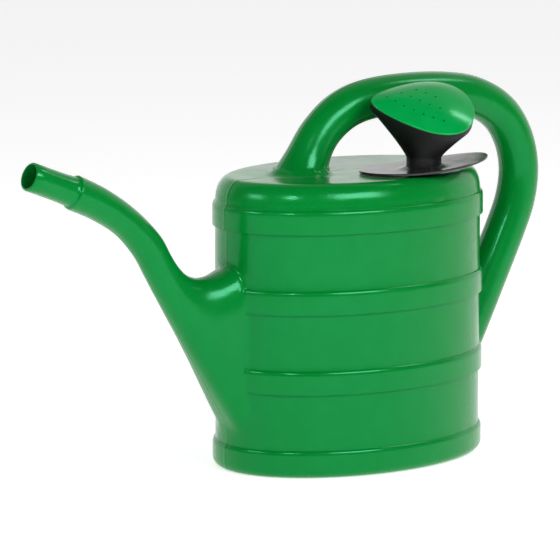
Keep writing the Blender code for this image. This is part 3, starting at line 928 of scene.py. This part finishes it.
# %% [markdown]
# ## Green polyethylene
# Blow-moulded polyethylene is dyed through, so wear shows as dull, slightly paler rubs and not as
# chips. The colour drifts a little where the wall is thicker, and the skin has a fine orange peel
# from the mould. A flat colour with one roughness would look like enamel, so slow noise drives the
# drift, tall thin noise in patches drives the scuffs, and two fine noises make the peel. The
# shader's reflection is tinted green, which keeps the lit walls as deep as dyed plastic.

# %% Green polyethylene
DRIFT_SCALE, DRIFT_SHARE = 6.0, 0.55
MOTTLE_SCALE, MOTTLE_SHARE = 55.0, 0.14
SCUFF_SCALE, SCUFF_SHARE = 140.0, 0.16
SCUFF_STRETCH = (1.0, 1.0, 0.22)
SCUFF_PATCH_SCALE = 9.0
SCUFF_ROUGHNESS = 0.14
SCUFF_DEPTH = 0.6
DULL_SCALE, DULL_ROUGHNESS = 24.0, 0.07
PEEL_SCALE = 380.0
RIPPLE_SCALE, RIPPLE_SHARE = 70.0, 2.2
PLASTIC_IOR = 1.5
GREEN_SHEEN = (0.22, 1.0, 0.62, 1.0)


def green_plastic(name, base, pale, deep, gloss, peel):
    """Dyed polyethylene. The gloss is its lowest roughness, the peel its bump height in mm."""
    look = Look(name)
    drift = look.noise(DRIFT_SCALE, 4.0).above(0.3, 0.7)
    mottle = look.noise(MOTTLE_SCALE, 3.0).above(0.35, 0.68)
    colour = look.blend(drift * DRIFT_SHARE, deep, base)
    colour = look.blend(mottle * MOTTLE_SHARE, colour, pale)
    scuff = look.noise(SCUFF_SCALE, 6.0, 0.7, SCUFF_STRETCH).above(0.6, 0.74)
    scuff = scuff * look.noise(SCUFF_PATCH_SCALE, 2.0).above(0.5, 0.68)
    colour = look.blend(scuff * SCUFF_SHARE, colour, pale)
    dull = look.noise(DULL_SCALE, 4.0).above(0.3, 0.75)
    roughness = gloss + DULL_ROUGHNESS * dull + SCUFF_ROUGHNESS * scuff
    ripple = look.noise(RIPPLE_SCALE, 2.0) * (peel * RIPPLE_SHARE)
    height = look.noise(PEEL_SCALE, 2.0) * peel + ripple - scuff * (peel * SCUFF_DEPTH)
    look.finish(Base_Color=colour, Roughness=roughness.clipped(), Normal=look.bump(height),
                IOR=PLASTIC_IOR, Specular_Tint=GREEN_SHEEN)
    return look.material


CAN_BASE = (0.0, 0.2, 0.026, 1.0)
CAN_PALE = (0.004, 0.245, 0.045, 1.0)
CAN_DEEP = (0.0, 0.183, 0.02, 1.0)
FACE_BASE = (0.0, 0.33, 0.056, 1.0)
FACE_PALE = (0.01, 0.41, 0.11, 1.0)
FACE_DEEP = (0.0, 0.29, 0.052, 1.0)
can_green = green_plastic("can_green", CAN_BASE, CAN_PALE, CAN_DEEP, 0.17, 0.05)
face_green = green_plastic("face_green", FACE_BASE, FACE_PALE, FACE_DEEP, 0.16, 0.03)
print("greens ready:", can_green.name, "and", face_green.name)

# %% [markdown]
# ## Black funnel and black sheet
# The funnel is injection-moulded in a deep, satin black that hardly mirrors anything. The lid sheet
# is a greyer black with a smoother top, which mirrors the bright surround at a low angle. One
# function makes both: wear and dust drive the colour and the roughness, and fine noise the grain.

# %% Blacks
WEAR_SCALE, WEAR_SHARE = 80.0, 0.35
WEAR_PATCH_SCALE = 11.0
DUST_SCALE, DUST_SHARE = 30.0, 0.15
WORN_ROUGHNESS = 0.12
GRAIN_SCALE = 520.0
WAVE_SCALE, WAVE_SHARE = 90.0, 1.5


def black_plastic(name, base, worn, gloss, grain, shine):
    """Black plastic. The gloss is its lowest roughness, the shine its specular level."""
    look = Look(name)
    wear = look.noise(WEAR_SCALE, 5.0, 0.65).above(0.55, 0.78)
    wear = wear * look.noise(WEAR_PATCH_SCALE, 2.0).above(0.42, 0.65)
    dust = look.noise(DUST_SCALE, 4.0).above(0.4, 0.8)
    colour = look.blend((wear * WEAR_SHARE + dust * DUST_SHARE).clipped(), base, worn)
    roughness = gloss + WORN_ROUGHNESS * dust + WORN_ROUGHNESS * wear
    wave = look.noise(WAVE_SCALE, 2.0) * (grain * WAVE_SHARE)
    height = look.noise(GRAIN_SCALE, 3.0) * grain + wave
    look.finish(Base_Color=colour, Roughness=roughness.clipped(), Normal=look.bump(height),
                Specular_IOR_Level=shine)
    return look.material


FUNNEL_BASE = (0.002, 0.0024, 0.0022, 1.0)
FUNNEL_WORN = (0.012, 0.013, 0.012, 1.0)
PLATE_BASE = (0.012, 0.012, 0.012, 1.0)
PLATE_WORN = (0.05, 0.05, 0.048, 1.0)
funnel_black = black_plastic("funnel_black", FUNNEL_BASE, FUNNEL_WORN, 0.42, 0.05, 0.25)
plate_black = black_plastic("plate_black", PLATE_BASE, PLATE_WORN, 0.2, 0.05, 0.6)
print("blacks ready:", funnel_black.name, "and", plate_black.name)

# %% [markdown]
# ## Put the pieces on their bodies
# Each visual piece stands in for the CAD nodes it covers and moves with their body.

# %% Ride and replace
PIECES = (  # piece, body, CAD nodes it stands in for, slot, material
    (can_moulding, "can", ("tank", "handle", "spout", "spout_end"), "can_green", can_green),
    (rose_funnel, "rose", ("rose_funnel",), "funnel_black", funnel_black),
    (rose_face, "rose_cap", ("rose_face",), "face_green", face_green),
    (lid_sheet, "lid", ("lid_plate",), "plate_black", plate_black),
)
for item, body, nodes, slot_name, material in PIECES:
    item.data.materials.clear()
    item.data.materials.append(material)
    for face in item.data.polygons:
        face.material_index = 0
    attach(item, body)
    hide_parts(*nodes)
print("pieces ride", [piece[1] for piece in PIECES])

# %% [markdown]
# ## Floor and studio light
# The can stands on a white sweep. One large soft box in front lights the walls, and three smaller
# ones draw the highlights down the tubes. Glossy plastic mostly shows what it mirrors, so the
# surround counts as much: it is bright behind the can, which gives the tank's flat top and its
# outer edges a pale sheen, and dim in front and overhead, which keeps the walls deep. Rays from the
# camera see plain white instead.

# %% Floor
WHITE = (1.0, 1.0, 1.0, 1.0)
FLOOR_WHITE = (0.9, 0.9, 0.9, 1.0)
FLOOR_RADIUS = 9.0
FLOOR_SIDES = 96
FLOOR_GLOW = 0.6
FLOOR_DROP = 0.5 * MM

builder = bmesh.new()
bmesh.ops.create_circle(builder, cap_ends=True, segments=FLOOR_SIDES, radius=FLOOR_RADIUS)
floor = finish_mesh("floor", builder)
white = Look("floor_white")
white.finish(Base_Color=FLOOR_WHITE, Roughness=0.9, Specular_IOR_Level=0.1,
             Emission_Color=WHITE, Emission_Strength=FLOOR_GLOW)
floor.data.materials.append(white.material)
floor.location.z = -FLOOR_DROP
print("floor", round(2 * FLOOR_RADIUS), "m across")

# %% Soft boxes
CAN_MIDDLE = Vector((0, 0, 0.28))
SOFT_BOXES = (  # name, heading and height in degrees, distance, width and height in m, watts
    ("key", -84, 31, 2.3, 1.2, 0.75, 33),
    ("left", 180, 25, 2.2, 0.7, 0.45, 9),
    ("front_left", -137, 30, 2.3, 0.3, 0.35, 9),
    ("right", -12, 50, 2.2, 0.22, 0.5, 3.5),
)


def direction(heading, height):
    """A unit vector from a heading and a height above the floor, both in degrees."""
    heading, height = math.radians(heading), math.radians(height)
    return Vector((math.cos(heading) * math.cos(height), math.sin(heading) * math.cos(height),
                   math.sin(height)))


for name, heading, height, distance, width, tall, power in SOFT_BOXES:
    data = bpy.data.lights.new(name, "AREA")
    data.shape = "RECTANGLE"
    data.size, data.size_y = width, tall
    data.energy = power
    soft_box = bpy.data.objects.new(name, data)
    bpy.context.scene.collection.objects.link(soft_box)
    soft_box.location = CAN_MIDDLE + direction(heading, height) * distance
    soft_box.rotation_euler = (CAN_MIDDLE - soft_box.location).to_track_quat("-Z", "Y").to_euler()
print(len(SOFT_BOXES), "soft boxes")

# %% Surround
BEHIND = (0.5509, 0.8166, 0.0)  # the direction from the front of the studio to its back wall
WALL_START, WALL_END = 0.05, 0.45
WALL_DIM, WALL_BRIGHT = 0.15, 1.1
CEILING_START, CEILING_END = 0.3, 0.75
CEILING_DIM = 0.4


class Surround(Look):
    """The world's nodes, added with the same methods as a material's."""

    def __init__(self, name):
        self.world = bpy.data.worlds.new(name)
        self.world.use_nodes = True
        self.tree = self.world.node_tree
        self.shader = self.tree.nodes["Background"]


studio = Surround("studio")
bpy.context.scene.world = studio.world
towards = studio.add("ShaderNodeTexCoord", output="Generated")
back = studio.add("ShaderNodeVectorMath", {"operation": "DOT_PRODUCT"}, {0: towards, 1: BEHIND},
                  output="Value")
climb = studio.add("ShaderNodeSeparateXYZ", {}, {0: towards}, output="Z")
wall = WALL_DIM + (WALL_BRIGHT - WALL_DIM) * back.above(WALL_START, WALL_END)
ceiling = 1.0 - (1.0 - CEILING_DIM) * climb.above(CEILING_START, CEILING_END)
camera_ray = studio.add("ShaderNodeLightPath", output="Is Camera Ray")
glow = studio.add("ShaderNodeMix", {}, {0: camera_ray, 2: wall * ceiling, 3: 1.0})
studio.finish(Color=WHITE, Strength=glow)
bpy.context.scene.view_settings.view_transform = "Standard"
print("surround ready, bright towards", BEHIND)
